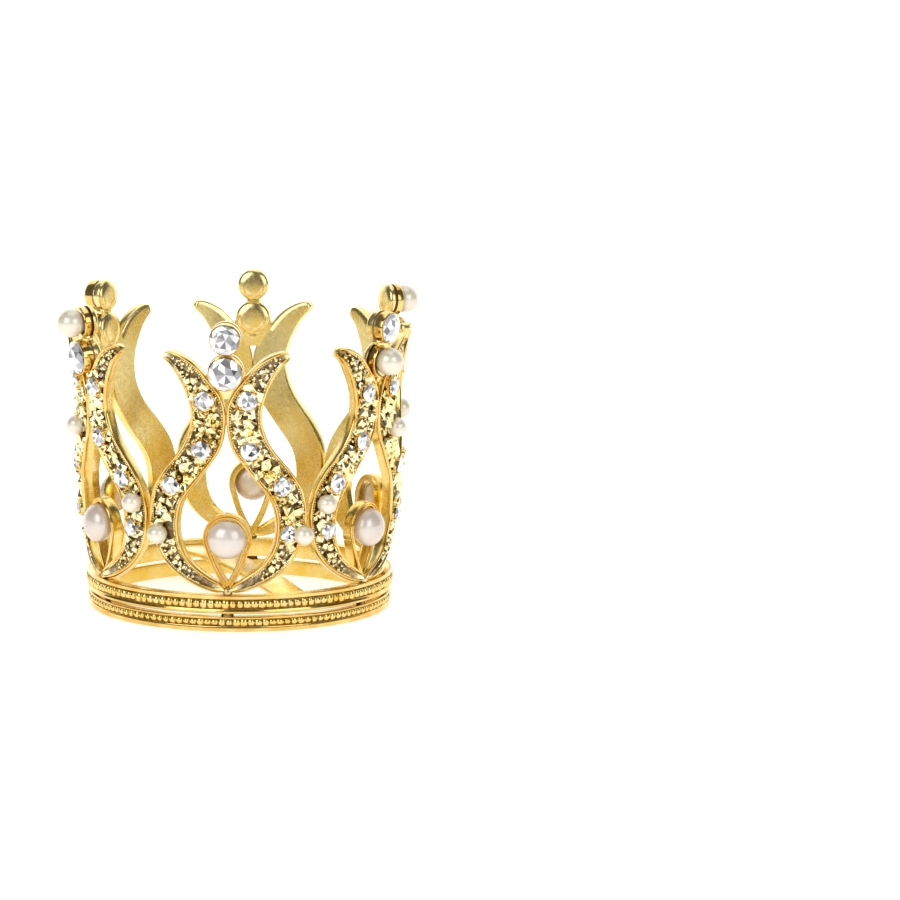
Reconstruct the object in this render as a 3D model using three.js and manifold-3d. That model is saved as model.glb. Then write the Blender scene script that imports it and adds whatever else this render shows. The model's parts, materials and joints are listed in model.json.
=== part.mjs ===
// A small gold-plated bridal crown: two base bands, six curled fleur motifs, a strap across the base,
// and pearls and crystals set on the metal. Millimetres, +Z up, base centre at the origin,
// the front motif faces -Y. A place on the crown is an azimuth from the front (degrees, towards +X)
// and a height, on a wall that leans outwards as it rises.
import * as THREE from 'three';
import { mergeVertices } from 'three/addons/utils/BufferGeometryUtils.js';
import Module from 'manifold-3d';

const wasm = await Module();
wasm.setup();

// Wall: an upright cone. WALL_RADIUS is its outer radius at WALL_LEVEL.
const WALL_RADIUS = 25;
const WALL_LEVEL = 5;
const WALL_FLARE = 0.083;
const CLEARANCE = 0.3;

// Base bands: inner radius, and each band's outer radius and the heights of its edges and channel.
const BAND_INNER = 23.4;
const BEAD_CHANNEL_DEPTH = 0.4;
const BAND_SEGMENTS = 48;
const LOWER_BAND = { outer: 25.0, bottom: 0, channelBottom: 1.0, channelTop: 2.2, top: 2.5 };
const UPPER_BAND = { outer: 25.4, bottom: 3.0, channelBottom: 3.9, channelTop: 5.4, top: 6.1 };
const LUG_COUNT = 6;
const LUG_SIZE = [2.0, 1.0];

// Base strap: a shallow arch across the inside of the upper band, turned from the front.
const STRAP_WIDTH = 5.7;
const STRAP_THICKNESS = 0.8;
const STRAP_END_HEIGHT = 4.5;
const STRAP_RISE = 1.3;
const STRAP_TURN = 27;
const STRAP_STEPS = 13;

// Fleur motif: six alike. A ribbon's centre line is a list of azimuth, height and width.
const MOTIF_COUNT = 6;
const RIBBON_PATH = [
  [1.0, 6.95, 0.7], [4.4, 7.45, 1.8], [8.5, 8.25, 2.4], [12.8, 9.3, 2.8], [16.9, 10.6, 3.3],
  [20.3, 12.4, 3.9], [22.6, 14.6, 4.5], [23.7, 17.2, 5.0], [23.4, 19.9, 5.4], [21.8, 22.4, 5.6],
  [18.6, 24.7, 5.6], [14.8, 26.8, 5.6], [11.0, 29.1, 5.6], [8.1, 31.7, 5.7], [6.6, 34.6, 5.6],
  [6.9, 37.6, 5.5], [9.7, 40.7, 4.5], [12.9, 43.0, 3.8], [16.0, 44.5, 2.9], [19.0, 45.5, 2.0],
  [21.6, 46.0, 0.8],
];
const RIBBON_THICKNESS = 1.8;
const RIBBON_STEPS = 20;
const RIM_WIDTH = 0.6;
const RIM_BEVEL = 0.15;
const FLOOR_DEPTH = 0.5;

// Pearl loop: a teardrop wire that stands on its point and holds the large pearl in its round head.
const LOOP_CENTRE = 15.4;
const LOOP_OUTER = 4.15;
const LOOP_INNER = 3.5;
const LOOP_POINT = 7.5;
const LOOP_INNER_POINT = 8.9;
const LOOP_THICKNESS = 1.4;
const LOOP_HEAD_ANGLE = 30;
const LOOP_STEPS = 7;
const LARGE_PEARL_RADIUS = 3.18;
const LARGE_PEARL_PROUD = 0.0;

// Finial: two stone cups, one above the other, a neck between them and a short tail below. A cup's
// back is CUP_BACK behind the wall; its lip stands further out for a crystal than for a pearl.
const CUP_BACK = 2.3;
const CUP_PROUD = { crystal: 1.1, pearl: 0.3 };
const CUP_LIP = 0.35;
const CUP_SEAT_DEPTH = 1.6;
const CUP_SEAT_NARROWING = 0.55;
const CUP_SEGMENTS = 16;
const TOP_CUP = { height: 48.8, radius: 2.6 };
const COLLAR_CUP = { height: 43.2, radius: 2.85 };
const NECK_SIZE = [2.2, 1.8, 2.4];
const NECK_HEIGHT = 46.1;
const TAIL_SIZE = [1.2, 1.6, 1.2];
const TAIL_HEIGHT = 40.3;

// Stones. A motif's top and collar stone is a pearl or a crystal.
const TOP_STONES = ['crystal', 'crystal', 'pearl', 'crystal', 'crystal', 'pearl'];
const COLLAR_STONES = ['crystal', 'pearl', 'crystal', 'crystal', 'pearl', 'crystal'];
const TOP_CRYSTAL_RADIUS = 2.35;
const COLLAR_CRYSTAL_RADIUS = 2.6;
const TOP_PEARL_RADIUS = 2.35;
const COLLAR_PEARL_RADIUS = 2.3;
const CRYSTAL_SEGMENTS = 12;
const LARGE_PEARL_SEGMENTS = 14;
const SMALL_PEARL_SEGMENTS = 9;

// Small pearls, two on each motif: azimuth from the motif's own axis, height, radius, and how far
// the centre stands proud of the wall.
const SMALL_PEARLS = [
  [[27.4, 16.0, 1.7, 1.2], [-25.2, 15.9, 1.7, 0.9]],
  [[10.6, 31.4, 1.65, 0.9], [-24.0, 20.8, 1.65, 0.9]],
  [[-8.4, 31.2, 1.65, 0.9], [24.4, 20.6, 1.7, 0.9]],
  [[27.4, 16.0, 1.7, 1.2], [-25.2, 15.9, 1.7, 0.9]],
  [[10.6, 31.4, 1.65, 0.9], [-24.0, 20.8, 1.65, 0.9]],
  [[-8.4, 31.2, 1.65, 0.9], [24.4, 20.6, 1.7, 0.9]],
];

const gold = new THREE.MeshStandardMaterial({ color: '#d8b25c', roughness: 0.28, metalness: 1 });
const satinGold = new THREE.MeshStandardMaterial({ color: '#d9b765', roughness: 0.45, metalness: 1 });
const crystal = new THREE.MeshStandardMaterial({ color: '#e9ebf0', roughness: 0.05, metalness: 0.1 });
const pearl = new THREE.MeshStandardMaterial({ color: '#ece4dc', roughness: 0.25, metalness: 0 });

// The wall's outer radius at a height.
function wallRadius(height) {
  return WALL_RADIUS + WALL_FLARE * (height - WALL_LEVEL);
}

// A point at an azimuth in radians, a height and a radius.
function onWall(azimuth, height, radius) {
  return new THREE.Vector3(radius * Math.sin(azimuth), -radius * Math.cos(azimuth), height);
}

// Leaves only positions, with shared corners merged, so that the mesh is one closed shell.
function closed(geometry) {
  geometry.deleteAttribute('normal');
  geometry.deleteAttribute('uv');
  const merged = mergeVertices(geometry, 1e-4);
  merged.computeVertexNormals();
  return merged;
}

// Moves every vertex to where the function says.
function mapVertices(geometry, place) {
  const positions = geometry.getAttribute('position');
  for (let i = 0; i < positions.count; i += 1) {
    const moved = place(positions.getX(i), positions.getY(i), positions.getZ(i));
    positions.setXYZ(i, moved.x, moved.y, moved.z);
  }
  positions.needsUpdate = true;
  return closed(geometry);
}

// A closed geometry as a solid that can be joined and cut, and back again.
function toSolid(geometry) {
  const shell = closed(geometry);
  return new wasm.Manifold(new wasm.Mesh({
    numProp: 3,
    vertProperties: new Float32Array(shell.getAttribute('position').array),
    triVerts: new Uint32Array(shell.index.array),
  }));
}

function fromSolid(solid) {
  const mesh = solid.getMesh();
  const geometry = new THREE.BufferGeometry();
  geometry.setAttribute('position', new THREE.BufferAttribute(new Float32Array(mesh.vertProperties), 3));
  geometry.setIndex(new THREE.BufferAttribute(new Uint32Array(mesh.triVerts), 1));
  return closed(geometry);
}

// Turns a profile of radius and height about the Z axis.
function turned(profile, segments) {
  const points = profile.map(([radius, height]) => new THREE.Vector2(radius, height));
  return new THREE.LatheGeometry(points, segments).rotateX(Math.PI / 2);
}

// A band: a rectangular ring with a shallow channel round its outside for the row of beads.
function bandGeometry({ outer, bottom, channelBottom, channelTop, top }) {
  const channel = outer - BEAD_CHANNEL_DEPTH;
  return turned([
    [BAND_INNER, bottom], [outer, bottom], [outer, channelBottom], [channel, channelBottom],
    [channel, channelTop], [outer, channelTop], [outer, top], [BAND_INNER, top],
    [BAND_INNER, bottom],
  ], BAND_SEGMENTS);
}

// The lower band with the lugs that hold the upper band clear of it.
function lowerBandGeometry() {
  const [lugWidth, lugDepth] = LUG_SIZE;
  const lugTop = UPPER_BAND.bottom - CLEARANCE;
  const lugBottom = LOWER_BAND.channelTop;
  let solid = toSolid(bandGeometry(LOWER_BAND));
  for (let i = 0; i < LUG_COUNT; i += 1) {
    const lug = new THREE.BoxGeometry(lugWidth, lugDepth, lugTop - lugBottom);
    lug.translate(0, -(LOWER_BAND.outer + BAND_INNER) / 2, (lugTop + lugBottom) / 2);
    lug.rotateZ((2 * Math.PI * i) / LUG_COUNT);
    solid = solid.add(toSolid(lug));
  }
  return fromSolid(solid);
}

// The strap: a box bent to an arch whose ends stop short of the upper band.
function strapGeometry() {
  const reach = Math.sqrt((BAND_INNER - CLEARANCE) ** 2 - (STRAP_WIDTH / 2) ** 2);
  const box = new THREE.BoxGeometry(STRAP_WIDTH, 2 * reach, STRAP_THICKNESS, 1, STRAP_STEPS, 1);
  return mapVertices(box, (x, y, z) => {
    const arch = STRAP_RISE * (1 - (y / reach) ** 2);
    return new THREE.Vector3(x, y, STRAP_END_HEIGHT + STRAP_THICKNESS / 2 + z + arch);
  });
}

// A ribbon before its pearl seats are cut: a box swept along its centre line on the wall. Its front
// has a rim along each edge and a sunken floor between. Side is 1 for the right ribbon, -1 for the left.
function plainRibbonGeometry(side) {
  const line = RIBBON_PATH.map(([degrees, height, width]) => (
    new THREE.Vector3(side * THREE.MathUtils.degToRad(degrees), height, width)));
  const curve = new THREE.CatmullRomCurve3(line);
  const box = new THREE.BoxGeometry(5, 1, 1, 5, RIBBON_STEPS, 1);
  return mapVertices(box, (x, y, z) => {
    const along = y + 0.5;
    const centre = curve.getPoint(along);
    const ahead = curve.getPoint(Math.min(along + 0.002, 1));
    const behind = curve.getPoint(Math.max(along - 0.002, 0));
    const radius = wallRadius(centre.y);
    const tangent = new THREE.Vector2((ahead.x - behind.x) * radius, ahead.y - behind.y).normalize();
    const half = centre.z / 2;
    const column = Math.round(Math.abs(x) + 0.5);
    const inset = Math.min([RIM_WIDTH + RIM_BEVEL, RIM_WIDTH, 0][column - 1], half * 0.9);
    const across = Math.sign(x) * (half - inset);
    const sunk = column === 1 && z > 0 ? FLOOR_DEPTH * THREE.MathUtils.clamp(half - 0.9, 0, 1) : 0;
    const depth = z > 0 ? sunk : RIBBON_THICKNESS;
    const azimuth = centre.x + (across * tangent.y) / radius;
    const height = centre.y - across * tangent.x;
    return onWall(azimuth, height, wallRadius(height) - depth);
  });
}

// A ribbon with a round seat for each small pearl that its own motif or a neighbour sets on it.
function ribbonGeometry(side, index) {
  const turn = 360 / MOTIF_COUNT;
  let solid = toSolid(plainRibbonGeometry(side));
  for (const step of [-1, 0, 1]) {
    const pearls = SMALL_PEARLS[(index + step + MOTIF_COUNT) % MOTIF_COUNT];
    for (const [degrees, height, radius, proud] of pearls) {
      const place = degrees + step * turn;
      const seat = pearlGeometry(radius + CLEARANCE, place, height, proud, SMALL_PEARL_SEGMENTS);
      solid = solid.subtract(toSolid(seat));
    }
  }
  return fromSolid(solid);
}

// Half-width outline of the teardrop: a round head, and two legs that meet in a point.
function teardrop(outline, radius, point) {
  const angle = THREE.MathUtils.degToRad(LOOP_HEAD_ANGLE);
  const hip = [radius * Math.cos(angle), LOOP_CENTRE - radius * Math.sin(angle)];
  const drop = hip[1] - point;
  outline.moveTo(0, point);
  outline.bezierCurveTo(radius * 0.32, point + drop * 0.2, radius * 0.72, hip[1] - drop * 0.24, hip[0], hip[1]);
  outline.absarc(0, LOOP_CENTRE, radius, -angle, Math.PI + angle, false);
  outline.bezierCurveTo(-radius * 0.72, hip[1] - drop * 0.24, -radius * 0.32, point + drop * 0.2, 0, point);
  return outline;
}

function pearlLoopGeometry() {
  const shape = teardrop(new THREE.Shape(), LOOP_OUTER, LOOP_POINT);
  shape.holes.push(teardrop(new THREE.Path(), LOOP_INNER, LOOP_INNER_POINT));
  const plate = new THREE.ExtrudeGeometry(shape, {
    depth: LOOP_THICKNESS, bevelEnabled: false, curveSegments: LOOP_STEPS,
  });
  return mapVertices(plate, (x, y, z) => (
    onWall(x / wallRadius(y), y, wallRadius(y) - LOOP_THICKNESS + z)));
}

// Turns a piece made along +Z to face out of the wall on the motif's axis, its z = 0 on the wall.
function faceOut(geometry, height, proud) {
  geometry.rotateX(Math.PI / 2 + Math.atan(WALL_FLARE));
  return geometry.translate(0, -wallRadius(height) - proud, height);
}

// A stone cup: a round block with a lip and a cone-shaped seat behind it.
function cupGeometry({ height, radius }, stone) {
  const seat = radius - CUP_LIP;
  const depth = CUP_BACK + CUP_PROUD[stone];
  return faceOut(turned([
    [0, -depth], [radius, -depth], [radius, 0], [seat, 0],
    [seat * (1 - CUP_SEAT_NARROWING), -CUP_SEAT_DEPTH], [0, -CUP_SEAT_DEPTH],
  ], CUP_SEGMENTS), height, CUP_PROUD[stone]);
}

// The finial: both cups with the neck between them and the tail below, as one cast piece.
function finialGeometry(topStone, collarStone) {
  const neck = new THREE.BoxGeometry(...NECK_SIZE);
  neck.translate(0, -wallRadius(NECK_HEIGHT) + CUP_BACK / 2, NECK_HEIGHT);
  const tail = new THREE.BoxGeometry(...TAIL_SIZE);
  tail.translate(0, -wallRadius(TAIL_HEIGHT) + CUP_BACK / 2, TAIL_HEIGHT);
  return fromSolid(toSolid(cupGeometry(TOP_CUP, topStone))
    .add(toSolid(cupGeometry(COLLAR_CUP, collarStone)))
    .add(toSolid(neck))
    .add(toSolid(tail)));
}

// A crystal: a girdle, a domed crown with a flat table in front and a short cone behind.
function crystalGeometry(radius, height) {
  return faceOut(turned([
    [0, -0.4 * radius], [0.35 * radius, -0.36 * radius], [radius, 0], [radius, 0.1 * radius],
    [0.55 * radius, 0.42 * radius], [0, 0.42 * radius],
  ], CRYSTAL_SEGMENTS), height, CUP_PROUD.crystal + CLEARANCE);
}

// A pearl that sits as deep in its cup's cone as the clearance allows.
function cupPearlGeometry(radius, cup) {
  const seat = cup.radius - CUP_LIP;
  const run = seat * CUP_SEAT_NARROWING;
  const slant = Math.hypot(run, CUP_SEAT_DEPTH);
  const lift = ((radius + CLEARANCE) * slant - seat * CUP_SEAT_DEPTH) / run;
  return pearlGeometry(radius, 0, cup.height, CUP_PROUD.pearl + lift, CUP_SEGMENTS);
}

// A pearl whose centre is a distance proud of the wall.
function pearlGeometry(radius, degrees, height, proud, segments) {
  const centre = onWall(THREE.MathUtils.degToRad(degrees), height, wallRadius(height) + proud);
  const ball = new THREE.SphereGeometry(radius, segments, Math.round(segments * 0.66));
  ball.rotateX(Math.PI / 2);
  return ball.translate(centre.x, centre.y, centre.z);
}

function addPiece(parent, name, geometry, material) {
  const mesh = new THREE.Mesh(closed(geometry), material);
  mesh.name = name;
  parent.add(mesh);
  return mesh;
}

const crown = new THREE.Group();

addPiece(crown, 'lower_band', lowerBandGeometry(), gold);
addPiece(crown, 'upper_band', bandGeometry(UPPER_BAND), gold);
addPiece(crown, 'base_strap', strapGeometry(), satinGold).rotation.z = THREE.MathUtils.degToRad(STRAP_TURN);

let smallPearlNumber = 0;
for (let i = 0; i < MOTIF_COUNT; i += 1) {
  const motif = new THREE.Group();
  const number = i + 1;
  motif.rotation.z = (2 * Math.PI * i) / MOTIF_COUNT;
  crown.add(motif);

  addPiece(motif, `right_ribbon_${number}`, ribbonGeometry(1, i), gold);
  addPiece(motif, `left_ribbon_${number}`, ribbonGeometry(-1, i), gold);
  addPiece(motif, `pearl_loop_${number}`, pearlLoopGeometry(), gold);
  addPiece(motif, `finial_${number}`, finialGeometry(TOP_STONES[i], COLLAR_STONES[i]), satinGold);

  const largePearl = pearlGeometry(
    LARGE_PEARL_RADIUS, 0, LOOP_CENTRE, LARGE_PEARL_PROUD, LARGE_PEARL_SEGMENTS);
  addPiece(motif, `large_pearl_${number}`, largePearl, pearl);

  if (TOP_STONES[i] === 'pearl') {
    addPiece(motif, `top_stone_${number}`, cupPearlGeometry(TOP_PEARL_RADIUS, TOP_CUP), pearl);
  } else {
    addPiece(motif, `top_stone_${number}`, crystalGeometry(TOP_CRYSTAL_RADIUS, TOP_CUP.height), crystal);
  }
  if (COLLAR_STONES[i] === 'pearl') {
    addPiece(motif, `collar_stone_${number}`, cupPearlGeometry(COLLAR_PEARL_RADIUS, COLLAR_CUP), pearl);
  } else {
    const stone = crystalGeometry(COLLAR_CRYSTAL_RADIUS, COLLAR_CUP.height);
    addPiece(motif, `collar_stone_${number}`, stone, crystal);
  }
  for (const [degrees, height, radius, proud] of SMALL_PEARLS[i]) {
    smallPearlNumber += 1;
    const ball = pearlGeometry(radius, degrees, height, proud, SMALL_PEARL_SEGMENTS);
    addPiece(motif, `small_pearl_${smallPearlNumber}`, ball, pearl);
  }
}

export default crown;
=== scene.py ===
"""Builds the looks of a small gold-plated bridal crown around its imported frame.

The crown has two base bands, six curled fleur motifs, a strap, pearls and crystals. Everything is set
out on one wall, an upright cone, by azimuth from the front (degrees, towards +X), height (mm) and how far
it stands proud of the wall (mm). Meshes are made in metres, each with its place in its vertices.
"""

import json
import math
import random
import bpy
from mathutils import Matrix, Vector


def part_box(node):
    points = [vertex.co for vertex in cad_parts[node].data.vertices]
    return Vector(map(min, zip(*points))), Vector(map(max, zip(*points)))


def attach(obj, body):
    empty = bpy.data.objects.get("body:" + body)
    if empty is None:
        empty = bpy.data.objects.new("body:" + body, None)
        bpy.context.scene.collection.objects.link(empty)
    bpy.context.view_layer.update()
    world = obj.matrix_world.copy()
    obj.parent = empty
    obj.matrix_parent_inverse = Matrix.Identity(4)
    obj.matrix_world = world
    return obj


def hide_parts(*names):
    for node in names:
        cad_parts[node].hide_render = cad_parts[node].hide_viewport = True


bl_info = {
    "name": "Bridal mini crown",
    "version": (1, 0, 0),
    "blender": (4, 5, 0),
    "location": "View3D > Sidebar > Crown",
    "description": "Builds a gold-plated mini crown with pearls and crystals",
    "category": "Object",
}

import bmesh
import bpy
from mathutils import Matrix, Vector

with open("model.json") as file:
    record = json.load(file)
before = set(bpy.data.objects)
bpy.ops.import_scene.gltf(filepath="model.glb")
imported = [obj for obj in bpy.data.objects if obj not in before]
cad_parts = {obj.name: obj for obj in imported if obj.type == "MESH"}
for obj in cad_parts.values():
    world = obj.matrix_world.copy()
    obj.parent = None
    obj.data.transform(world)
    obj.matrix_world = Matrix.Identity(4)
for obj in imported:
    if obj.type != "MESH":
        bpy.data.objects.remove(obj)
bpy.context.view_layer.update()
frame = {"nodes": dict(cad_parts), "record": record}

MM = 0.001
MOTIFS = 6
MOTIF_TURN = 360 / MOTIFS

# The wall: an upright cone, its outer radius given at one level (mm).
WALL_RADIUS = 25.0
WALL_LEVEL = 5.0
WALL_FLARE = 0.083
WALL_TILT = math.atan(WALL_FLARE)

# Ribbon centre line on the wall: azimuth from the motif's axis (degrees), height and width (mm).
RIBBON_PATH = [
    (0.9, 6.85, 0.8), (4.4, 7.4, 1.8), (8.5, 8.2, 2.4), (12.8, 9.25, 2.8), (16.9, 10.6, 3.3),
    (20.3, 12.4, 3.9), (22.6, 14.6, 4.5), (23.7, 17.2, 5.0), (23.4, 19.9, 5.4), (21.8, 22.4, 5.6),
    (18.6, 24.7, 5.6), (14.8, 26.8, 5.6), (11.0, 29.1, 5.6), (7.75, 31.7, 6.0), (6.3, 34.6, 5.88),
    (6.65, 37.6, 5.7), (9.7, 40.7, 4.5), (12.9, 43.0, 3.8), (16.0, 44.5, 2.9), (19.0, 45.4, 2.1),
    (21.3, 45.75, 1.2),
]
RIBBON_STEPS = 150
RIBBON_THICKNESS = 1.8
RAIL_WIDTH = 0.5
LEDGE_WIDTH = 0.16
FLOOR_DEPTH = 0.75
END_ROUNDING = 0.5

# Seats along the right ribbon; the left ribbon mirrors them. Azimuth, height, radius (mm).
CRYSTAL_SEATS = [(7.3, 38.6, 1.62), (8.5, 30.4, 1.62), (19.5, 24.2, 1.6), (22.3, 16.2, 1.4)]

# Scatter over the ribbon floors, largest first: tries, smallest and largest radius (mm), the stretch of the
# ribbon it covers from 0 at the base to 1 at the tip, and how near two may lie against their radii together.
SCATTER = [
    (700, 0.85, 1.3, 0.28, 0.82, 0.6),
    (500, 0.45, 0.75, 0.16, 0.9, 0.7),
    (700, 0.22, 0.4, 0.12, 0.96, 0.88),
]
# Radius (mm) from which a scattered piece is a plate and not a grain.
PLATE_SIZE = 0.42

# Milgrain, the row of tiny beads inside each rail (mm): one bead to each step of the ribbon.
MILGRAIN_RADIUS = 0.17
MILGRAIN_PROUD = -0.22
MILGRAIN_FROM_WIDTH = 2.2

# Teardrop loop (mm): its head's centre and radius, the height of its point, and where the head meets the legs.
LOOP_CENTRE = 15.4
LOOP_RADIUS = 3.76
LOOP_POINT = 7.35
LOOP_HEAD_ANGLE = math.radians(30)

# Large pearls are buttons: their depth against their width, and how far their centre stands proud (mm).
BUTTON_FLATNESS = 0.72
BUTTON_PROUD = -0.2

# Web under the collar cup, from its top down: height and half-width (mm).
GUSSET = [(43.0, 3.2), (42.0, 3.3), (41.0, 2.8), (40.2, 2.2), (39.4, 1.6), (38.7, 1.2)]

# Finial cups: height and radius (mm), and how far their back lies behind the wall.
TOP_CUP = (48.8, 2.6)
COLLAR_CUP = (43.2, 2.9)
CUP_BACK = 2.3

# Strap: its turn from the front (degrees), then its section, end height, arch and half length (mm).
STRAP_TURN = 27.0
STRAP_WIDTH = 5.7
STRAP_THICKNESS = 0.8
STRAP_END_HEIGHT = 4.5
STRAP_RISE = 1.3
STRAP_REACH = 22.95

# Bands: inner radius, rounding of their edges (mm) and steps round the ring.
BAND_INNER = 23.4
BAND_EDGE = 0.14
BAND_STEPS = 240

# View: distance (mm), elevation and azimuth of the camera from the base centre, lens (mm), and its aim past it.
CAMERA_DISTANCE = 1083.0
CAMERA_ELEVATION = math.radians(11.62)
CAMERA_AZIMUTH = math.radians(4.74)
CAMERA_LENS = 260.9
CAMERA_SENSOR = 36.0
AIM_RIGHT = math.radians(1.845)
AIM_UP = math.radians(1.329)


def linear(hex_colour):
    """An sRGB hex colour as linear red, green and blue."""
    channels = [int(hex_colour[i:i + 2], 16) / 255 for i in (1, 3, 5)]
    return tuple(c / 12.92 if c <= 0.04045 else ((c + 0.055) / 1.055) ** 2.4 for c in channels)


def wall_radius(height):
    """The wall's radius (mm) at a height."""
    return WALL_RADIUS + WALL_FLARE * (height - WALL_LEVEL)


def on_wall(azimuth, height, proud=0.0):
    """The point (mm) at an azimuth in degrees and a height, standing proud of the wall."""
    angle = math.radians(azimuth)
    radius = wall_radius(height) + proud
    return Vector((radius * math.sin(angle), -radius * math.cos(angle), height))


def wall_frame(azimuth, height, proud=0.0):
    """A matrix at a place on the wall: X along it to the right, Y up it, Z out of it."""
    angle = math.radians(azimuth)
    right = Vector((math.cos(angle), math.sin(angle), 0))
    out = Vector((math.sin(angle) * math.cos(WALL_TILT), -math.cos(angle) * math.cos(WALL_TILT),
                  -math.sin(WALL_TILT)))
    up = out.cross(right)
    centre = on_wall(azimuth, height) + out * proud
    return Matrix.Translation(centre) @ Matrix((right, up, out)).transposed().to_4x4()


def spline(points, position):
    """A smooth curve through the points: position runs from 0 to the last point's number."""
    index = min(int(position), len(points) - 2)
    t = position - index
    ends = [points[max(index - 1, 0)], points[index], points[index + 1],
            points[min(index + 2, len(points) - 1)]]
    before, start, stop, after = [Vector(p) for p in ends]
    return 0.5 * ((2 * start) + (stop - before) * t + (2 * before - 5 * start + 4 * stop - after) * t ** 2
                  + (3 * start - before - 3 * stop + after) * t ** 3)


def even_steps(points, count):
    """The curve through the points, cut into equal lengths."""
    fine = [spline(points, i / 20) for i in range(20 * (len(points) - 1) + 1)]
    lengths = [0.0]
    for a, b in zip(fine, fine[1:]):
        lengths.append(lengths[-1] + (b - a).length)
    steps = []
    index = 0
    for i in range(count + 1):
        target = lengths[-1] * i / count
        while index < len(fine) - 2 and lengths[index + 1] < target:
            index += 1
        part = (target - lengths[index]) / (lengths[index + 1] - lengths[index])
        steps.append(fine[index].lerp(fine[index + 1], part))
    return steps


class Builder:
    """Gathers points and faces in mm, with a material number and smoothing for each face."""

    def __init__(self):
        self.points = []
        self.faces = []
        self.numbers = []
        self.smooth = []

    def add(self, points, faces, numbers=0, smooth=True):
        start = len(self.points)
        self.points.extend(points)
        for i, face in enumerate(faces):
            self.faces.append([start + corner for corner in face])
            self.numbers.append(numbers[i] if isinstance(numbers, list) else numbers)
            self.smooth.append(smooth)

    def piece(self, name, materials, sharp_angle=None, outward=True):
        """The mesh object, linked to the scene, with its faces turned outwards."""
        mesh = bpy.data.meshes.new(name)
        mesh.from_pydata([Vector(p) * MM for p in self.points], [], self.faces)
        for surface in materials:
            mesh.materials.append(surface)
        mesh.polygons.foreach_set("material_index", self.numbers)
        mesh.polygons.foreach_set("use_smooth", self.smooth)
        if outward:
            bm = bmesh.new()
            bm.from_mesh(mesh)
            bmesh.ops.recalc_face_normals(bm, faces=bm.faces)
            bm.to_mesh(mesh)
            bm.free()
        if sharp_angle:
            mesh.set_sharp_from_angle(angle=math.radians(sharp_angle))
        made = bpy.data.objects.new(name, mesh)
        bpy.context.scene.collection.objects.link(made)
        return made


def loft(builder, sections, numbers, closed_along=False):
    """Joins closed sections of equal length into a tube; an open tube gets flat ends."""
    size = len(sections[0])
    points = [point for section in sections for point in section]
    faces = []
    face_numbers = []
    rows = len(sections) if closed_along else len(sections) - 1
    for i in range(rows):
        j = (i + 1) % len(sections)
        for k in range(size):
            m = (k + 1) % size
            faces.append([i * size + k, i * size + m, j * size + m, j * size + k])
            face_numbers.append(numbers[k])
    if not closed_along:
        faces.append(list(range(size))[::-1])
        faces.append([rows * size + k for k in range(size)])
        face_numbers.extend([numbers[0], numbers[0]])
    builder.add(points, faces, face_numbers)


def lathe(builder, profile, steps, matrix, numbers=0, smooth=True):
    """Turns a profile of (radius, z) about Z. A profile that starts or ends on the axis closes there."""
    points = []
    rows = []
    for radius, z in profile:
        if radius == 0:
            rows.append([len(points)] * steps)
            points.append(matrix @ Vector((0, 0, z)))
            continue
        rows.append(list(range(len(points), len(points) + steps)))
        for k in range(steps):
            angle = 2 * math.pi * k / steps
            points.append(matrix @ Vector((radius * math.cos(angle), radius * math.sin(angle), z)))
    faces = []
    face_numbers = []
    for i in range(len(profile) - 1):
        for k in range(steps):
            m = (k + 1) % steps
            corners = [rows[i][k], rows[i][m], rows[i + 1][m], rows[i + 1][k]]
            faces.append(list(dict.fromkeys(corners)))
            face_numbers.append(numbers[i] if isinstance(numbers, list) else numbers)
    builder.add(points, faces, face_numbers, smooth)


def rounded(profile, radius, steps=4):
    """A closed profile with each corner rounded off."""
    result = []
    count = len(profile)
    for i in range(count):
        corner = Vector(profile[i])
        before = Vector(profile[i - 1])
        after = Vector(profile[(i + 1) % count])
        cut = min(radius, 0.45 * (before - corner).length, 0.45 * (after - corner).length)
        start = corner + (before - corner).normalized() * cut
        stop = corner + (after - corner).normalized() * cut
        for k in range(steps + 1):
            t = k / steps
            result.append(tuple(start.lerp(corner, t).lerp(corner.lerp(stop, t), t)))
    return result


def place(made, slot, *nodes):
    """Rides a finished piece on the crown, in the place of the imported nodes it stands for."""
    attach(made, "root")
    if nodes:
        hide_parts(*nodes)
    return made


# Materials -----------------------------------------------------------------------------------------


def add_node(tree, kind, inputs=None, **settings):
    """Adds a node, sets its settings, and sets or links its inputs by name or number."""
    made = tree.nodes.new(kind)
    for name, value in settings.items():
        setattr(made, name, value)
    for key, value in (inputs or {}).items():
        if isinstance(value, bpy.types.NodeSocket):
            tree.links.new(value, made.inputs[key])
        else:
            made.inputs[key].default_value = value
    return made


def new_material(name):
    """A material with an empty tree but for its output."""
    surface = bpy.data.materials.new(name)
    surface.use_nodes = True
    tree = surface.node_tree
    tree.nodes.clear()
    return surface, tree, tree.nodes.new("ShaderNodeOutputMaterial")


def recess_depth(tree, coordinates, radius, flare):
    """How deep a point lies behind an upright cone, in mm, from its object coordinates in metres."""
    parts = add_node(tree, "ShaderNodeSeparateXYZ", {0: coordinates})
    flat = add_node(tree, "ShaderNodeCombineXYZ", {0: parts.outputs[0], 1: parts.outputs[1]})
    length = add_node(tree, "ShaderNodeVectorMath", {0: flat.outputs[0]}, operation="LENGTH")
    base = (radius - flare * WALL_LEVEL) * MM
    cone = add_node(tree, "ShaderNodeMath", {0: parts.outputs[2], 1: flare, 2: base}, operation="MULTIPLY_ADD")
    gap = add_node(tree, "ShaderNodeMath", {0: cone.outputs[0], 1: length.outputs["Value"]},
                   operation="SUBTRACT")
    return add_node(tree, "ShaderNodeMath", {0: gap.outputs[0], 1: 1 / MM}, operation="MULTIPLY").outputs[0]


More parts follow.
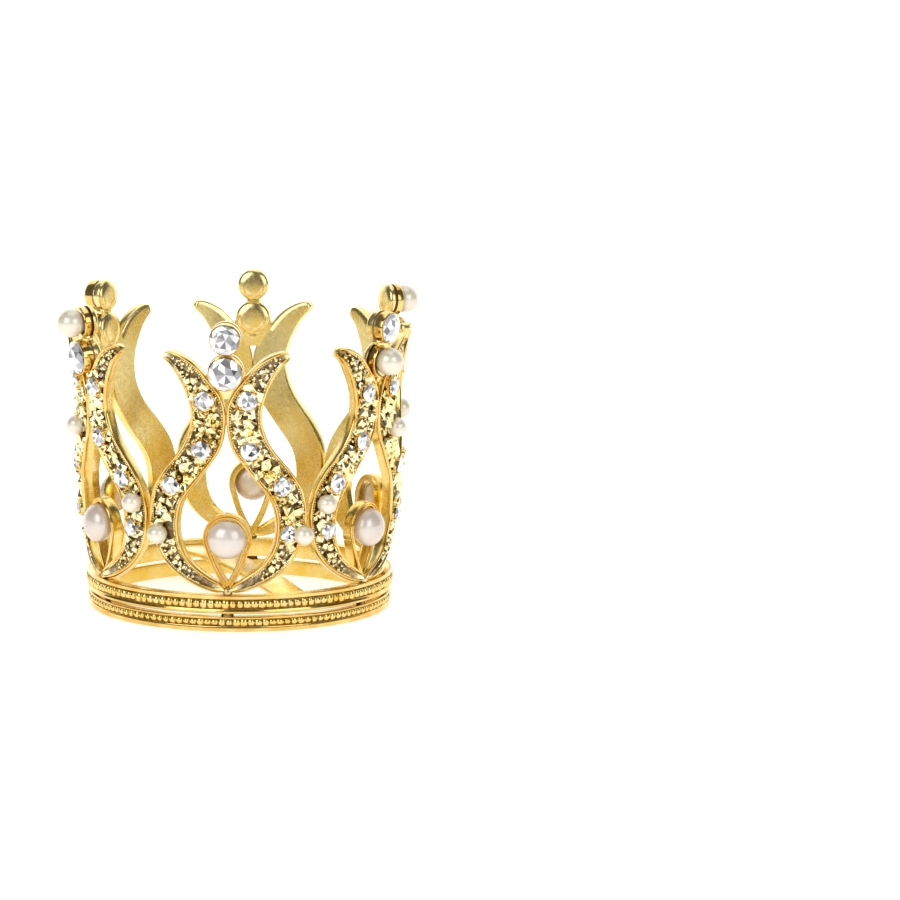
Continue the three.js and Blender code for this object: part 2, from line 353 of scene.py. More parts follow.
def gold_material(name, bright, warm, roughness, grain, bump, recess=None, painted_light_heights=None):
    """Gold plate over a casting. Bright and warm are its two tones in patches, grain the size in mm of the
    surface's unevenness and bump its height in mm. Recess is (radius, flare, shallow, deep, colour): the
    colour of the dark patina that fills the metal from a shallow to a deep distance behind that cone. Given
    two heights (mm), the warm tone grows from the first to the second: painted light and shade, which leaves
    the gold paler high up and warmer lower down."""
    surface, tree, output = new_material(name)
    coordinates = add_node(tree, "ShaderNodeTexCoord").outputs["Object"]
    patches = add_node(tree, "ShaderNodeTexNoise", {"Vector": coordinates, "Scale": 1 / (4.0 * MM),
                                                    "Detail": 2.0})
    fine = add_node(tree, "ShaderNodeTexNoise", {"Vector": coordinates, "Scale": 1 / (grain * MM),
                                                 "Detail": 3.0})
    spread = add_node(tree, "ShaderNodeMapRange",
                      {"Value": patches.outputs[0], "From Min": 0.3, "From Max": 0.75})
    amount = spread.outputs[0]
    # Painted light and shade: the warm tone is held back high up, so the gold is paler at the top.
    if painted_light_heights:
        parts = add_node(tree, "ShaderNodeSeparateXYZ", {0: coordinates})
        low = add_node(tree, "ShaderNodeMapRange", {"Value": parts.outputs[2], "From Min": painted_light_heights[0] * MM,
                                                    "From Max": painted_light_heights[1] * MM})
        amount = add_node(tree, "ShaderNodeMath", {0: amount, 1: low.outputs[0]},
                          operation="MULTIPLY").outputs[0]
    tone = add_node(tree, "ShaderNodeMix", {0: amount, 6: (*linear(bright), 1), 7: (*linear(warm), 1)},
                    data_type="RGBA")
    colour = tone.outputs[2]
    rough = add_node(tree, "ShaderNodeMapRange", {"Value": fine.outputs[0], "From Min": 0.3, "From Max": 0.7,
                                                  "To Min": roughness * 0.85,
                                                  "To Max": roughness * 1.2}).outputs[0]
    metal = None
    if recess:
        radius, flare, shallow, deep, patina = recess
        depth = recess_depth(tree, coordinates, radius, flare)
        wander = add_node(tree, "ShaderNodeMath", {0: fine.outputs[0], 1: 0.25, 2: -0.125},
                          operation="MULTIPLY_ADD")
        edge = add_node(tree, "ShaderNodeMath", {0: depth, 1: wander.outputs[0]}, operation="ADD")
        dark = add_node(tree, "ShaderNodeMapRange", {"Value": edge.outputs[0], "From Min": shallow,
                                                     "From Max": deep},
                        interpolation_type="SMOOTHSTEP").outputs[0]
        colour = add_node(tree, "ShaderNodeMix", {0: dark, 6: colour, 7: (*linear(patina), 1)},
                          data_type="RGBA").outputs[2]
        rough = add_node(tree, "ShaderNodeMath", {0: dark, 1: 0.25, 2: rough},
                         operation="MULTIPLY_ADD").outputs[0]
        metal = add_node(tree, "ShaderNodeMapRange", {"Value": dark, "To Min": 1.0, "To Max": 0.55}).outputs[0]
    raised = add_node(tree, "ShaderNodeBump", {"Height": fine.outputs[0], "Distance": bump * MM,
                                               "Strength": 1.0})
    shader = add_node(tree, "ShaderNodeBsdfPrincipled",
                      {"Base Color": colour, "Roughness": rough, "Metallic": 1.0,
                                                         "Normal": raised.outputs[0]})
    if metal:
        tree.links.new(metal, shader.inputs["Metallic"])
    tree.links.new(shader.outputs[0], output.inputs[0])
    return surface


def polished_gold():
    """Gold plate buffed on the rails and wires: bright, with soft ripples left by the buff."""
    return gold_material("Gold plate, buffed", "#F2D993", "#DFB259", 0.14, 0.9, 0.006)


def satin_gold():
    """Gold plate on an unpolished casting: fine grit from the mould scatters the highlights. Its warm tone is
    painted in lower down only, so the gold is paler at the top: painted light and shade.
    """
    return gold_material("Gold plate, satin cast, painted paler top", "#F3E0A2", "#EDC853", 0.24, 0.6, 0.004,
                         painted_light_heights=(38, 16))


def patinated_gold():
    """Gold plate with dark patina left in the ribbon floors and wiped off what stands up."""
    return gold_material("Gold plate, patinated", "#FAF1D4", "#F3DF9A", 0.15, 0.5, 0.012,
                         (WALL_RADIUS, WALL_FLARE, 0.36, 0.95, "#6E4A1A"))


def band_gold(name, radius):
    """The same patina measured behind a band's own face."""
    return gold_material(name, "#F4DE9C", "#E9C561", 0.19, 0.5, 0.016, (radius, 0.0, 0.2, 0.48, "#6B410A"))


def dipped_pearl(name, body_colour, cloud_colour, edge):
    """Glass bead dipped in pearl essence: a clouded body under a clear glossy skin. Its darker, warmer rim
    is painted: painted shade at the edge and a painted reflection of the gold round it.
    """
    surface, tree, output = new_material(name)
    coordinates = add_node(tree, "ShaderNodeTexCoord").outputs["Object"]
    cloud = add_node(tree, "ShaderNodeTexNoise", {"Vector": coordinates, "Scale": 1 / (2.5 * MM),
                                                  "Detail": 2.0})
    body = add_node(tree, "ShaderNodeMix", {0: cloud.outputs[0], 6: (*linear(body_colour), 1),
                                            7: (*linear(cloud_colour), 1)}, data_type="RGBA")
    # Painted shade and painted gold reflection: towards the rim the body turns to the darker, warmer edge
    # colour.
    facing = add_node(tree, "ShaderNodeLayerWeight", {"Blend": 0.35})
    colour = add_node(tree, "ShaderNodeMix", {0: facing.outputs["Facing"], 6: body.outputs[2],
                                              7: (*linear(edge), 1)}, data_type="RGBA")
    shader = add_node(tree, "ShaderNodeBsdfPrincipled", {
        "Base Color": colour.outputs[2], "Roughness": 0.26, "IOR": 1.6, "Coat Weight": 0.7,
        "Coat Roughness": 0.12,
        "Metallic": 0.18})
    tree.links.new(shader.outputs[0], output.inputs[0])
    return surface


def silvered_glass():
    """Cut glass over silver foil, under a hard polished surface. Each facet is painted a tone of its own, from
    white to grey: painted reflections in the facets."""
    surface, tree, output = new_material("Cut glass, silver-backed, painted facet reflections")
    # Painted reflections: each facet's colour runs from grey to white with the random tone stored on it.
    facet = add_node(tree, "ShaderNodeAttribute", attribute_name="painted facet reflection")
    tone = add_node(tree, "ShaderNodeMix", {0: facet.outputs["Fac"], 6: (*linear("#57555C"), 1),
                                            7: (*linear("#FFFFFF"), 1)}, data_type="RGBA")
    shader = add_node(tree, "ShaderNodeBsdfPrincipled", {
        "Base Color": tone.outputs[2], "Roughness": 0.06, "Metallic": 0.5, "Coat Weight": 1.0,
        "Coat Roughness": 0.0})
    tree.links.new(shader.outputs[0], output.inputs[0])
    return surface


def painted_floor(name, colour):
    """Matt painted board."""
    surface, tree, output = new_material(name)
    shader = add_node(tree, "ShaderNodeBsdfPrincipled", {
        "Base Color": (*linear(colour), 1), "Roughness": 0.7, "Emission Color": (1, 1, 1, 1),
        "Emission Strength": 0.5})
    tree.links.new(shader.outputs[0], output.inputs[0])
    return surface


MATERIALS = {}


def material(name):
    """Makes each material once."""
    makers = {
        "polished": polished_gold,
        "satin": satin_gold,
        "patinated": patinated_gold,
        "lower band": lambda: band_gold("Gold plate, lower band", 25.0),
        "upper band": lambda: band_gold("Gold plate, upper band", 25.4),
        # Each pearl's last colour is its painted rim: painted shade and a painted reflection of the gold.
        "rose pearl": lambda: dipped_pearl("Imitation pearl, rose, painted rim shade", "#F3EBE3", "#E6DAD0", "#CDAE90"),
        "cream pearl": lambda: dipped_pearl("Imitation pearl, cream, painted rim shade", "#FBF5E6", "#F2EAD8", "#DFCCA6"),
        "crystal": silvered_glass,
        "solder": lambda: gold_material("Solder, bare", "#EBDDB4", "#D2BD84", 0.28, 0.5, 0.01),
    }
    if name not in MATERIALS:
        MATERIALS[name] = makers[name]()
    return MATERIALS[name]


# Ribbons -------------------------------------------------------------------------------------------


def ribbon_line(side):
    """Centre, width and unit directions (along, across) of a ribbon at each step, on the unrolled wall."""
    flat = [(side * math.radians(a) * wall_radius(h), h, w) for a, h, w in RIBBON_PATH]
    line = even_steps(flat, RIBBON_STEPS)
    places = []
    for i, point in enumerate(line):
        ahead = line[min(i + 1, RIBBON_STEPS)]
        behind = line[max(i - 1, 0)]
        along = Vector((ahead.x - behind.x, ahead.y - behind.y)).normalized()
        places.append((Vector((point.x, point.y)), point.z, along, Vector((along.y, -along.x))))
    return places


def ribbon_section(half, rounding):
    """Across and proud distances round a ribbon's section, and the material number of each stretch:
    0 buffed rail, 1 patinated floor, 2 satin side and back."""
    rail = min(RAIL_WIDTH, 0.44 * half)
    ledge = min(LEDGE_WIDTH, 0.12 * half)
    floor = -0.12 - (FLOOR_DEPTH - 0.12) * min(max((half - 0.45) / 0.6, 0), 1)
    drop = -0.5 * (1 - rounding)
    back = -RIBBON_THICKNESS + 0.5 * (1 - rounding)
    edge = [
        (half - 0.12, back, 2), (half, back + 0.16, 2), (half, -0.42 + drop, 0), (half - 0.02, -0.16 + drop, 0),
        (half - 0.1, -0.03 + drop, 0), (half - rail * 0.36, 0.05 + drop, 0),
        (half - rail * 0.64, 0.05 + drop, 0),
        (half - rail + 0.1 * min(rail, 0.5), -0.03 + drop, 0), (half - rail, -0.17 + drop, 1),
        (half - rail - ledge * 0.5, -0.24 + drop, 1), (half - rail - ledge, -0.3 + drop, 1),
        (half - rail - ledge * 1.1, floor, 1),
    ]
    inner = half - rail - ledge * 1.1
    middle = [(inner * f, floor, 1) for f in (0.5, 0.0, -0.5)]
    mirrored = [(-a, p, n) for a, p, n in reversed(edge)]
    spine = [(f * half, back - 0.03, 2) for f in (-0.4, 0.0, 0.4)]
    points = edge + middle + mirrored + spine
    numbers = [n for _, _, n in edge[:-1]] + [1] * 4
    numbers += [n for _, _, n in mirrored[1:]] + [2] * 4
    return [(a, p) for a, p, _ in points], numbers


def ribbon_piece(motif, side):
    """One cast ribbon with rounded ends."""
    azimuth = motif * MOTIF_TURN
    rng = random.Random(100 + 2 * motif + (side > 0))
    sections = []
    numbers = []
    places = ribbon_line(side)
    step = (places[1][0] - places[0][0]).length
    for i, (centre, width, _, across) in enumerate(places):
        from_end = min(i, RIBBON_STEPS - i) * step
        part = min(from_end / END_ROUNDING, 1.0)
        rounding = math.sqrt(max(1 - (1 - part) ** 2, 0.0))
        half = max(width / 2 * (0.25 + 0.75 * rounding), 0.15)
        section, numbers = ribbon_section(half, rounding)
        ring = []
        for offset, proud in section:
            flat = centre + across * offset
            uneven = rng.uniform(-0.07, 0.07) if proud < -0.3 and abs(offset) < half - RAIL_WIDTH else 0.0
            height = flat.y
            degrees = math.degrees(flat.x / wall_radius(height)) + azimuth
            ring.append(on_wall(degrees, height, proud + (uneven if proud > -1.0 else 0.0)))
        sections.append(ring)
    builder = Builder()
    loft(builder, sections, numbers)
    label = "right" if side > 0 else "left"
    made = builder.piece(f"{label}_ribbon_casting_{motif + 1}",
                         [material("polished"), material("patinated"), material("satin")], 50)
    return place(made, "polished_gold", f"{label}_ribbon_{motif + 1}")


# Stones and grains ---------------------------------------------------------------------------------


def packed_centre(node):
    """The middle (mm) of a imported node's box."""
    low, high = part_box(node)
    return (low + high) / 2 / MM


def packed_radius(node):
    """Radius (mm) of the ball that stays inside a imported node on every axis."""
    low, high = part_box(node)
    return min(high - low) / 2 / MM


def small_pearls():
    """Name, centre (mm) and radius of each small pearl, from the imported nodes."""
    found = []
    for name in sorted(frame["nodes"]):
        if name.startswith("small_pearl_"):
            found.append((name, packed_centre(name), packed_radius(name)))
    return found


def clear_of_pearls(point, reach, pearls):
    """True where nothing of that reach would meet a small pearl."""
    return all((Vector((point.x, point.y, point.z)) - centre).length > reach + radius * 0.75
               for _, centre, radius in pearls)


def paint_facet_reflections(made, seed):
    """Paints every face of a piece a random tone of its own, most of them bright: painted reflections in the
    facets.
    """
    rng = random.Random(seed)
    tones = made.data.attributes.new("painted facet reflection", "FLOAT", "FACE")
    tones.data.foreach_set("value", [1 - rng.random() ** 2.2 for _ in made.data.polygons])
    return made


def brilliant(builder, radius, matrix, turn):
    """A round stone in eight-fold cut. The table is split as the facets seen through it are, so that each part
    takes a painted reflection of its own.
    """
    crown = 0.34 * radius
    culet = 0.62 * radius

    def ring(count, size, z, shift):
        return [matrix @ Vector((size * math.cos(turn + 2 * math.pi * (k + shift) / count),
                                 size * math.sin(turn + 2 * math.pi * (k + shift) / count), z))
                for k in range(count)]

    points = ring(8, 0.56 * radius, crown, 0)
    points += ring(8, 0.8 * radius, crown * 0.55, 0.5)
    points += ring(16, radius, 0.06 * radius, 0)
    points += ring(16, radius, 0.0, 0)
    points += ring(8, 0.45 * radius, -culet * 0.62, 0.5)
    points += [matrix @ Vector((0, 0, -culet)), matrix @ Vector((0.06 * radius, 0.04 * radius, crown * 0.86))]
    faces = []
    for k in range(8):
        n = (k + 1) % 8
        g, h, j = 16 + 2 * k, 16 + 2 * k + 1, 16 + (2 * k + 2) % 16
        a, b, c = g + 16, h + 16, j + 16
        low, high = 48 + k, 48 + (k - 1) % 8
        faces += [[k, n, 57], [k, 8 + k, n], [8 + k, k, 8 + (k - 1) % 8, g], [8 + k, g, h], [8 + k, h, j]]
        faces += [[g, h, b, a], [h, j, c, b], [a, b, low], [b, c, low], [a, low, high], [high, low, 56]]
    builder.add(points, faces, 0, smooth=False)


def nugget(builder, radius, matrix, rng, number):
    """A rough plate: a foot, a wide middle and a flat top, each point out of true."""
    sides = rng.choice((4, 5, 5, 6))
    points = []
    for z, size in ((-0.7, 0.9), (-0.1, 1.0), (0.22, 0.8), (0.34, 0.4)):
        for k in range(sides):
            angle = 2 * math.pi * k / sides
            reach = radius * size * rng.uniform(0.7, 1.25)
            points.append(matrix @ Vector((reach * math.cos(angle), reach * math.sin(angle),
                                           radius * (z + rng.uniform(-0.16, 0.16)))))
    faces = [list(range(sides))[::-1], list(range(3 * sides, 4 * sides))]
    for row in range(3):
        for k in range(sides):
            n = (k + 1) % sides
            faces.append([row * sides + k, row * sides + n, row * sides + sides + n])
            faces.append([row * sides + k, row * sides + sides + n, row * sides + sides + k])
    builder.add(points, faces, number, smooth=False)


def prong(builder, matrix, radius, number):
    """A short peg with a round head."""
    profile = [(0, -1.1), (radius, -1.1), (radius, 0.0), (radius * 0.86, radius * 0.5),
               (radius * 0.5, radius * 0.86), (0, radius)]
    lathe(builder, profile, 8, matrix, number)


def stone_set(motif, side, pearls, crystals, metal, rng):
    """The crystals of one ribbon in their four-pronged seats."""
    for azimuth, height, radius in CRYSTAL_SEATS:
        at = side * azimuth + motif * MOTIF_TURN + rng.uniform(-0.25, 0.25)
        level = height + rng.uniform(-0.12, 0.12)
        proud = 0.45 + rng.uniform(-0.06, 0.06)
        if not clear_of_pearls(on_wall(at, level, proud), 0.55 * radius, pearls):
            continue
        tilt = Matrix.Rotation(rng.uniform(-0.12, 0.12), 4, "X") @ Matrix.Rotation(rng.uniform(-0.12, 0.12),
                                                                                   4, "Y")
        seat = wall_frame(at, level, proud)
        brilliant(crystals, radius, seat @ tilt, rng.uniform(0, math.pi / 4))
        collar = [(radius * 0.62, -1.15), (radius * 1.04, -1.1), (radius * 1.1, -0.25), (radius * 1.07, -0.03),
                  (radius * 1.0, -0.05), (radius * 0.62, -0.75), (radius * 0.62, -1.15)]
        lathe(metal, collar, 24, seat)
        for k in range(4):
            angle = math.pi / 4 + k * math.pi / 2 + rng.uniform(-0.15, 0.15)
            foot = Matrix.Translation((radius * 1.0 * math.cos(angle), radius * 1.0 * math.sin(angle), 0.12))
            prong(metal, seat @ foot, 0.26, 0)


def scatter(motif, side, pearls, metal, grains, rng):
    """Adds a ribbon's plates to the metal and its grains to a list of centres and radii."""
    for azimuth, height, radius in floor_spots(motif, side, rng):
        if not clear_of_pearls(on_wall(azimuth, height, -0.2), 0.3 * radius, pearls):
            continue
        if radius < PLATE_SIZE:
            grains.append((on_wall(azimuth, height, -FLOOR_DEPTH + radius * 1.2), radius))
            continue
        proud = -0.2 + 0.25 * radius + rng.uniform(-0.2, 0.2)
        lean = Matrix.Rotation(rng.uniform(-0.55, 0.55), 4, "X") @ Matrix.Rotation(rng.uniform(-0.55, 0.55),
                                                                                   4, "Y")
        nugget(metal, radius, wall_frame(azimuth, height, proud) @ lean @ Matrix.Rotation(rng.uniform(0, 1.5),
                                                                                          4, "Z"),
               rng, 0)


def floor_spots(motif, side, rng):
    """Scatters plates and grains of falling size over a ribbon's floor, clear of its crystal seats. Returns the
    azimuth, height and radius of each."""
    places = ribbon_line(side)
    taken = [(Vector((side * math.radians(a) * wall_radius(h), h)), r * 1.0) for a, h, r in CRYSTAL_SEATS]
    found = []
    for count, smallest, largest, first, last, overlap in SCATTER:
        for _ in range(count):
            step = rng.randint(int(first * RIBBON_STEPS), int(last * RIBBON_STEPS))
            flat, width, _, across = places[step]
            radius = rng.uniform(smallest, largest)
            room = width / 2 - RAIL_WIDTH - LEDGE_WIDTH - radius * 0.7
            if room < 0:
                continue
            spot = flat + across * rng.uniform(-room, room)
            if any((spot - centre).length < overlap * (radius + reach) for centre, reach in taken):
                continue
            taken.append((spot, radius))
            found.append((math.degrees(spot.x / wall_radius(spot.y)) + motif * MOTIF_TURN, spot.y, radius))
    return found


def milgrain_beads(motif, side, pearls):
    """Centre and radius of the row of tiny beads inside each rail of a ribbon."""
    beads = []
    for flat, width, _, across in ribbon_line(side)[14:-10]:
        for edge in (1, -1):
            spot = flat + across * edge * (width / 2 - RAIL_WIDTH - MILGRAIN_RADIUS)
            at = math.degrees(spot.x / wall_radius(spot.y)) + motif * MOTIF_TURN
            centre = on_wall(at, spot.y, MILGRAIN_PROUD)
            if width > MILGRAIN_FROM_WIDTH and clear_of_pearls(centre, MILGRAIN_RADIUS, pearls):
                beads.append((centre, MILGRAIN_RADIUS))
    return beads


# Geometry Nodes ------------------------------------------------------------------------------------


def new_node_group(name, sockets):
    """A Geometry Nodes tree with a geometry input and output and the named inputs after it."""
    tree = bpy.data.node_groups.new(name, "GeometryNodeTree")
    tree.interface.new_socket("Geometry", in_out="INPUT", socket_type="NodeSocketGeometry")
    tree.interface.new_socket("Geometry", in_out="OUTPUT", socket_type="NodeSocketGeometry")
    identifiers = {}
    for label, kind, default in sockets:
        made = tree.interface.new_socket(label, in_out="INPUT", socket_type=kind)
        made.default_value = default
        identifiers[label] = made.identifier
    entry = tree.nodes.new("NodeGroupInput")
    leave = tree.nodes.new("NodeGroupOutput")
    return tree, entry, leave, identifiers


def granule_tree():
    """Sets a faceted granule on each point, turned at random, its size read from the points."""
    tree, entry, leave, identifiers = new_node_group("Granules on points", [
        ("Detail", "NodeSocketInt", 2),
        ("Squash", "NodeSocketFloat", 0.85),
        ("Seed", "NodeSocketInt", 7),
        ("Material", "NodeSocketMaterial", None),
    ])
    ball = add_node(tree, "GeometryNodeMeshIcoSphere", {"Radius": 1.0, "Subdivisions": entry.outputs["Detail"]})
    turn = add_node(tree, "FunctionNodeRandomValue", {0: (0, 0, 0), 1: (6.283, 6.283, 6.283),
                                                      "Seed": entry.outputs["Seed"]}, data_type="FLOAT_VECTOR")
    size = add_node(tree, "GeometryNodeInputNamedAttribute", {"Name": "size"}, data_type="FLOAT")
    flat = add_node(tree, "ShaderNodeCombineXYZ", {0: 1.0, 1: 1.0, 2: entry.outputs["Squash"]})
    scale = add_node(tree, "ShaderNodeVectorMath", {0: flat.outputs[0], "Scale": size.outputs[0]},
                     operation="SCALE")
    points = add_node(tree, "GeometryNodeMeshToPoints", {"Mesh": entry.outputs["Geometry"]})
    put = add_node(tree, "GeometryNodeInstanceOnPoints", {
        "Points": points.outputs[0], "Instance": ball.outputs[0], "Rotation": turn.outputs[0],
        "Scale": scale.outputs[0]})
    real = add_node(tree, "GeometryNodeRealizeInstances", {0: put.outputs[0]})
    finish = add_node(tree, "GeometryNodeSetMaterial",
                      {0: real.outputs[0], "Material": entry.outputs["Material"]})
    tree.links.new(finish.outputs[0], leave.inputs[0])
    return tree, identifiers


def bead_row_tree():
    """Sets a row of rounded blocks round a ring, each a little different in size."""
    tree, entry, leave, identifiers = new_node_group("Bead row round a band", [
        ("Count", "NodeSocketInt", 120),
        ("Ring radius", "NodeSocketFloat", 25 * MM),
        ("Height", "NodeSocketFloat", 4.6 * MM),
        ("Bead width", "NodeSocketFloat", 1.0 * MM),
        ("Bead height", "NodeSocketFloat", 1.2 * MM),
        ("Bead depth", "NodeSocketFloat", 0.6 * MM),
        ("Unevenness", "NodeSocketFloat", 0.15),
        ("Seed", "NodeSocketInt", 3),
        ("Material", "NodeSocketMaterial", None),
    ])
    ring = add_node(tree, "GeometryNodeCurvePrimitiveCircle", {
        "Resolution": 128, "Radius": entry.outputs["Ring radius"]})
    points = add_node(tree, "GeometryNodeCurveToPoints",
                      {"Curve": ring.outputs[0], "Count": entry.outputs["Count"]})
    lift = add_node(tree, "ShaderNodeCombineXYZ", {2: entry.outputs["Height"]})
    raised = add_node(tree, "GeometryNodeSetPosition", {0: points.outputs[0], "Offset": lift.outputs[0]})
    block = add_node(tree, "GeometryNodeMeshCube", {"Size": (1, 1, 1), "Vertices X": 3, "Vertices Y": 3,
                                                    "Vertices Z": 3})
    where = add_node(tree, "GeometryNodeInputPosition")
    unit = add_node(tree, "ShaderNodeVectorMath", {0: where.outputs[0]}, operation="NORMALIZE")
    half = add_node(tree, "ShaderNodeVectorMath", {0: unit.outputs[0], "Scale": 0.56}, operation="SCALE")
    soft = add_node(tree, "ShaderNodeMix", {0: 0.62, 4: where.outputs[0], 5: half.outputs[0]},
                    data_type="VECTOR")
    pebble = add_node(tree, "GeometryNodeSetPosition", {0: block.outputs[0], "Position": soft.outputs[1]})
    smooth = add_node(tree, "GeometryNodeSetShadeSmooth", {0: pebble.outputs[0]})
    size = add_node(tree, "ShaderNodeCombineXYZ", {0: entry.outputs["Bead depth"],
                                                   1: entry.outputs["Bead height"],
                                                   2: entry.outputs["Bead width"]})
    low = add_node(tree, "ShaderNodeMath", {0: 1.0, 1: entry.outputs["Unevenness"]}, operation="SUBTRACT")
    high = add_node(tree, "ShaderNodeMath", {0: 1.0, 1: entry.outputs["Unevenness"]}, operation="ADD")
    vary = add_node(tree, "FunctionNodeRandomValue", {0: low.outputs[0], 1: high.outputs[0],
                                                      "Seed": entry.outputs["Seed"]}, data_type="FLOAT_VECTOR")
    scale = add_node(tree, "ShaderNodeVectorMath", {0: size.outputs[0], 1: vary.outputs[0]},
                     operation="MULTIPLY")
    put = add_node(tree, "GeometryNodeInstanceOnPoints", {
        "Points": raised.outputs[0], "Instance": smooth.outputs[0], "Rotation": points.outputs["Rotation"],
        "Scale": scale.outputs[0]})
    real = add_node(tree, "GeometryNodeRealizeInstances", {0: put.outputs[0]})
    finish = add_node(tree, "GeometryNodeSetMaterial",
                      {0: real.outputs[0], "Material": entry.outputs["Material"]})
    tree.links.new(finish.outputs[0], leave.inputs[0])
    return tree, identifiers


def grown(name, mesh, tree, identifiers, values):
    """Runs a node tree on a mesh and returns the result as a plain mesh object."""
    source = bpy.data.objects.new(name, mesh)
    bpy.context.scene.collection.objects.link(source)
    modifier = source.modifiers.new("Nodes", "NODES")
    modifier.node_group = tree
    for label, value in values.items():
        modifier[identifiers[label]] = value
    graph = bpy.context.evaluated_depsgraph_get()
    result = bpy.data.meshes.new_from_object(source.evaluated_get(graph), preserve_all_data_layers=True,
                                             depsgraph=graph)
    source.modifiers.clear()
    source.data = result
    result.name = name
    return source


# Operators -----------------------------------------------------------------------------------------


class CrownSizes(bpy.types.PropertyGroup):
    """Sizes that a maker would change."""

    bead_pitch: bpy.props.FloatProperty(
        name="Bead pitch", description="Distance between beads round a band", default=1.2 * MM, unit="LENGTH")
    bead_unevenness: bpy.props.FloatProperty(
        name="Bead unevenness", description="How much beads differ in size", default=0.16, subtype="FACTOR")
    granule_squash: bpy.props.FloatProperty(
        name="Granule squash", description="Height of a granule against its width", default=0.85,
        subtype="FACTOR")


class CrownLight(bpy.types.PropertyGroup):
    """The stage and its light."""

    floor_colour: bpy.props.FloatVectorProperty(
        name="Floor colour", description="Colour of the floor", default=linear("#F4F4F4"), size=3,
        subtype="COLOR")
    world_strength: bpy.props.FloatProperty(
        name="Surround", description="Brightness of the room around the crown", default=0.13)
    key_power: bpy.props.FloatProperty(
        name="Key light", description="Power of the main soft light in watts", default=17.0)
    fill_power: bpy.props.FloatProperty(
        name="Fill light", description="Power of the second soft light in watts", default=10.0)
    top_power: bpy.props.FloatProperty(
        name="Top light", description="Power of the soft light overhead in watts", default=9.5)


class CROWN_OT_bands(bpy.types.Operator):
    """Makes the two base bands with their bead channels and the lugs between them"""

    bl_idname = "crown.bands"
    bl_label = "Bands"

    def execute(self, context):
        lower = [
            (BAND_INNER, 0.0), (24.85, 0.0), (25.0, 0.2), (24.95, 0.95), (24.62, 1.02), (24.62, 2.08),
            (24.92, 2.12), (24.95, 2.5), (24.4, 2.52), (BAND_INNER, 2.5),
        ]
        upper = [
            (BAND_INNER, 3.0), (24.6, 3.0), (25.2, 3.05), (25.4, 3.42), (25.2, 3.85), (25.0, 3.92),
            (25.0, 5.35),
            (25.2, 5.42), (25.22, 6.02), (25.05, 6.1), (24.75, 5.95), (23.9, 5.95), (23.65, 6.1),
            (BAND_INNER, 6.05),
        ]
        rows = (("lower", lower, "lower_band", 0.95, 2.15), ("upper", upper, "upper_band", 3.88, 5.4))
        for name, profile, slot_node, low, high in rows:
            builder = Builder()
            closed = rounded(profile, BAND_EDGE, 3)
            closed.append(closed[0])
            numbers = []
            for a, b in zip(closed, closed[1:]):
                radius = (a[0] + b[0]) / 2
                height = (a[1] + b[1]) / 2
                if radius < BAND_INNER + 0.5:
                    numbers.append(1)
                else:
                    numbers.append(0 if low < height < high else 2)
            lathe(builder, closed, BAND_STEPS, Matrix.Identity(4), numbers)
            weld = builder.piece(f"{name}_base_band",
                                 [material(f"{name} band"), material("satin"), material("polished")], 60)
            merge_doubles(weld.data)
            place(weld, "polished_gold", slot_node)
        lugs = Builder()
        for motif in range(MOTIFS):
            at = Matrix.Rotation(math.radians(motif * MOTIF_TURN), 4,
                                 "Z") @ Matrix.Translation((0, -24.1, 2.75))
            lathe(lugs, [(0, -0.5), (0.9, -0.5), (1.1, -0.25), (0.95, 0.0), (1.1, 0.25), (0.9, 0.5),
                         (0, 0.5)], 16,
                  at @ Matrix.Diagonal((1.0, 0.55, 1.0, 1.0)))
        place(lugs.piece("solder_lugs", [material("lower band")]), "polished_gold")
        solder = Builder()
        rng = random.Random(5)
        for motif in range(MOTIFS):
            foot = wall_frame(motif * MOTIF_TURN + rng.uniform(-0.5, 0.5), 6.5, -0.45)
            size = rng.uniform(0.55, 0.75)
            lathe(solder, [(0, -0.6), (size * 1.2, -0.5), (size * 1.1, 0.1), (size * 0.6, 0.35), (0, 0.42)],
                  14, foot)
        place(solder.piece("solder_blobs", [material("solder")]), "polished_gold")
        return {"FINISHED"}


def merge_doubles(mesh):
    """Welds a lathe's first and last rows."""
    bm = bmesh.new()
    bm.from_mesh(mesh)
    bmesh.ops.remove_doubles(bm, verts=bm.verts, dist=1e-6)
    bmesh.ops.recalc_face_normals(bm, faces=bm.faces)
    bm.to_mesh(mesh)
    bm.free()


class CROWN_OT_beads(bpy.types.Operator):
    """Sets the rows of beads in the bands' channels"""

    bl_idname = "crown.beads"
    bl_label = "Band beads"

    def execute(self, context):
        sizes = context.scene.crown_sizes
        tree, identifiers = bead_row_tree()
        rows = (("lower", 24.66, 1.58, 1.14, 1.02, 0.62, 5), ("upper", 25.03, 4.65, 1.16, 1.36, 0.66, 9))
        for name, radius, height, width, tall, deep, seed in rows:
            count = round(2 * math.pi * radius * MM / sizes.bead_pitch)
            made = grown(f"{name}_band_beads", bpy.data.meshes.new(name), tree, identifiers, {
                "Count": count, "Ring radius": radius * MM, "Height": height * MM, "Bead width": width * MM,
                "Bead height": tall * MM, "Bead depth": deep * MM, "Unevenness": sizes.bead_unevenness,
                "Seed": seed, "Material": material(f"{name} band"),
            })
            place(made, "polished_gold")
        return {"FINISHED"}


